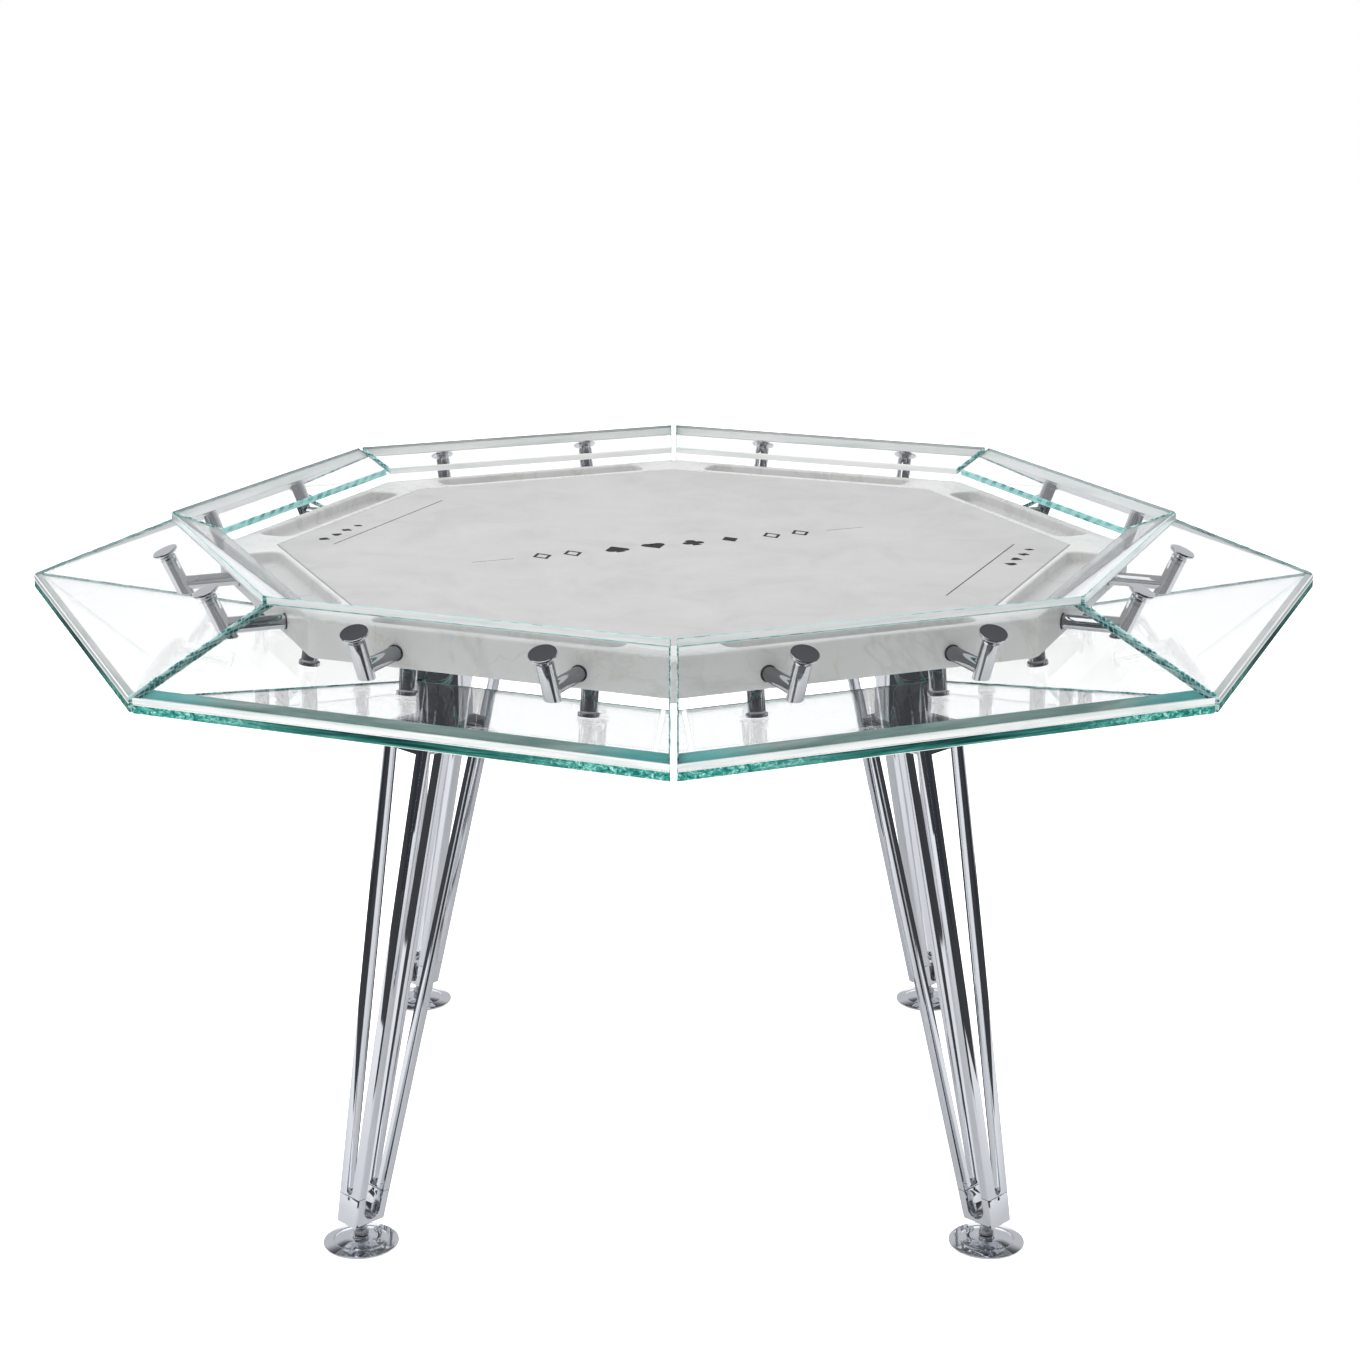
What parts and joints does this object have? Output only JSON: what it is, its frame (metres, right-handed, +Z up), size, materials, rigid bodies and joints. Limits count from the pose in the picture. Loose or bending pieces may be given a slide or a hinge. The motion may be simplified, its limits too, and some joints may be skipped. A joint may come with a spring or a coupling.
{
  "type": "glass card table",
  "caption": "Octagonal card table with a sloping glass rim on chrome pegs, a marble ring with chip trays, a grey leather field and splayed chrome legs on levelling feet.",
  "frame": {"origin": "on the floor under the centre of the table", "axes": "+Z up through the centre of the field; -Y points to one corner of the octagon, the corner between sections 8 and 1"},
  "size_m": [1.567, 1.567, 0.79],
  "materials": {
    "slope_glass": "clear polished float glass, teal edges",
    "lip_glass": "clear polished float glass, teal edges",
    "base_glass": "clear polished float glass, teal edges",
    "bracket_chrome": "polished",
    "leg_chrome": "polished",
    "foot_chrome": "polished",
    "stud_steel": "machined thread",
    "marble": "honed white marble with faint grey and gold veins",
    "field_leather": "matt nubuck, mottled pale grey, black printed markings",
    "plywood": "painted plywood underside"
  },
  "bodies": {
    "table": {"glass_slope_1": "slope_glass", "glass_lip_1": "lip_glass", "glass_base_1": "base_glass", "bracket_1_left": "bracket_chrome", "bracket_1_right": "bracket_chrome", "glass_slope_2": "slope_glass", "glass_lip_2": "lip_glass", "glass_base_2": "base_glass", "bracket_2_left": "bracket_chrome", "bracket_2_right": "bracket_chrome", "glass_slope_3": "slope_glass", "glass_lip_3": "lip_glass", "glass_base_3": "base_glass", "bracket_3_left": "bracket_chrome", "bracket_3_right": "bracket_chrome", "glass_slope_4": "slope_glass", "glass_lip_4": "lip_glass", "glass_base_4": "base_glass", "bracket_4_left": "bracket_chrome", "bracket_4_right": "bracket_chrome", "glass_slope_5": "slope_glass", "glass_lip_5": "lip_glass", "glass_base_5": "base_glass", "bracket_5_left": "bracket_chrome", "bracket_5_right": "bracket_chrome", "glass_slope_6": "slope_glass", "glass_lip_6": "lip_glass", "glass_base_6": "base_glass", "bracket_6_left": "bracket_chrome", "bracket_6_right": "bracket_chrome", "glass_slope_7": "slope_glass", "glass_lip_7": "lip_glass", "glass_base_7": "base_glass", "bracket_7_left": "bracket_chrome", "bracket_7_right": "bracket_chrome", "glass_slope_8": "slope_glass", "glass_lip_8": "lip_glass", "glass_base_8": "base_glass", "bracket_8_left": "bracket_chrome", "bracket_8_right": "bracket_chrome", "stone_ring": "marble", "playing_field": "field_leather", "base_plate": "plywood", "leg_front_left": "leg_chrome", "leg_socket_front_left": "leg_chrome", "leg_rear_left": "leg_chrome", "leg_socket_rear_left": "leg_chrome", "leg_rear_right": "leg_chrome", "leg_socket_rear_right": "leg_chrome", "leg_front_right": "leg_chrome", "leg_socket_front_right": "leg_chrome"},
    "disc_front_left": {"foot_disc_front_left": "foot_chrome"},
    "stud_front_left": {"foot_stud_front_left": "stud_steel"},
    "disc_rear_left": {"foot_disc_rear_left": "foot_chrome"},
    "stud_rear_left": {"foot_stud_rear_left": "stud_steel"},
    "disc_rear_right": {"foot_disc_rear_right": "foot_chrome"},
    "stud_rear_right": {"foot_stud_rear_right": "stud_steel"},
    "disc_front_right": {"foot_disc_front_right": "foot_chrome"},
    "stud_front_right": {"foot_stud_front_right": "stud_steel"}
  },
  "joints": [
    {"name": "foot_height_front_left", "type": "slide", "parent": "table", "child": "disc_front_left", "axis": [0, 0, 1], "range_m": [-0.012, 0.008]},
    {"name": "stud_spin_front_left", "type": "hinge", "parent": "disc_front_left", "child": "stud_front_left", "pos_m": [-0.36345, -0.36345, 0.03], "axis": [0, 0, 1], "range_deg": [-2468.6, 1645.8]},
    {"name": "foot_height_rear_left", "type": "slide", "parent": "table", "child": "disc_rear_left", "axis": [0, 0, 1], "range_m": [-0.012, 0.008]},
    {"name": "stud_spin_rear_left", "type": "hinge", "parent": "disc_rear_left", "child": "stud_rear_left", "pos_m": [-0.36345, 0.36345, 0.03], "axis": [0, 0, 1], "range_deg": [-2468.6, 1645.8]},
    {"name": "foot_height_rear_right", "type": "slide", "parent": "table", "child": "disc_rear_right", "axis": [0, 0, 1], "range_m": [-0.012, 0.008]},
    {"name": "stud_spin_rear_right", "type": "hinge", "parent": "disc_rear_right", "child": "stud_rear_right", "pos_m": [0.36345, 0.36345, 0.03], "axis": [0, 0, 1], "range_deg": [-2468.6, 1645.8]},
    {"name": "foot_height_front_right", "type": "slide", "parent": "table", "child": "disc_front_right", "axis": [0, 0, 1], "range_m": [-0.012, 0.008]},
    {"name": "stud_spin_front_right", "type": "hinge", "parent": "disc_front_right", "child": "stud_front_right", "pos_m": [0.36345, -0.36345, 0.03], "axis": [0, 0, 1], "range_deg": [-2468.6, 1645.8]}
  ],
  "couplings": [
    {"joint": "stud_spin_front_left", "follows": "foot_height_front_left", "rad_per_m": 3590.4},
    {"joint": "stud_spin_rear_left", "follows": "foot_height_rear_left", "rad_per_m": 3590.4},
    {"joint": "stud_spin_rear_right", "follows": "foot_height_rear_right", "rad_per_m": 3590.4},
    {"joint": "stud_spin_front_right", "follows": "foot_height_front_right", "rad_per_m": 3590.4}
  ]
}
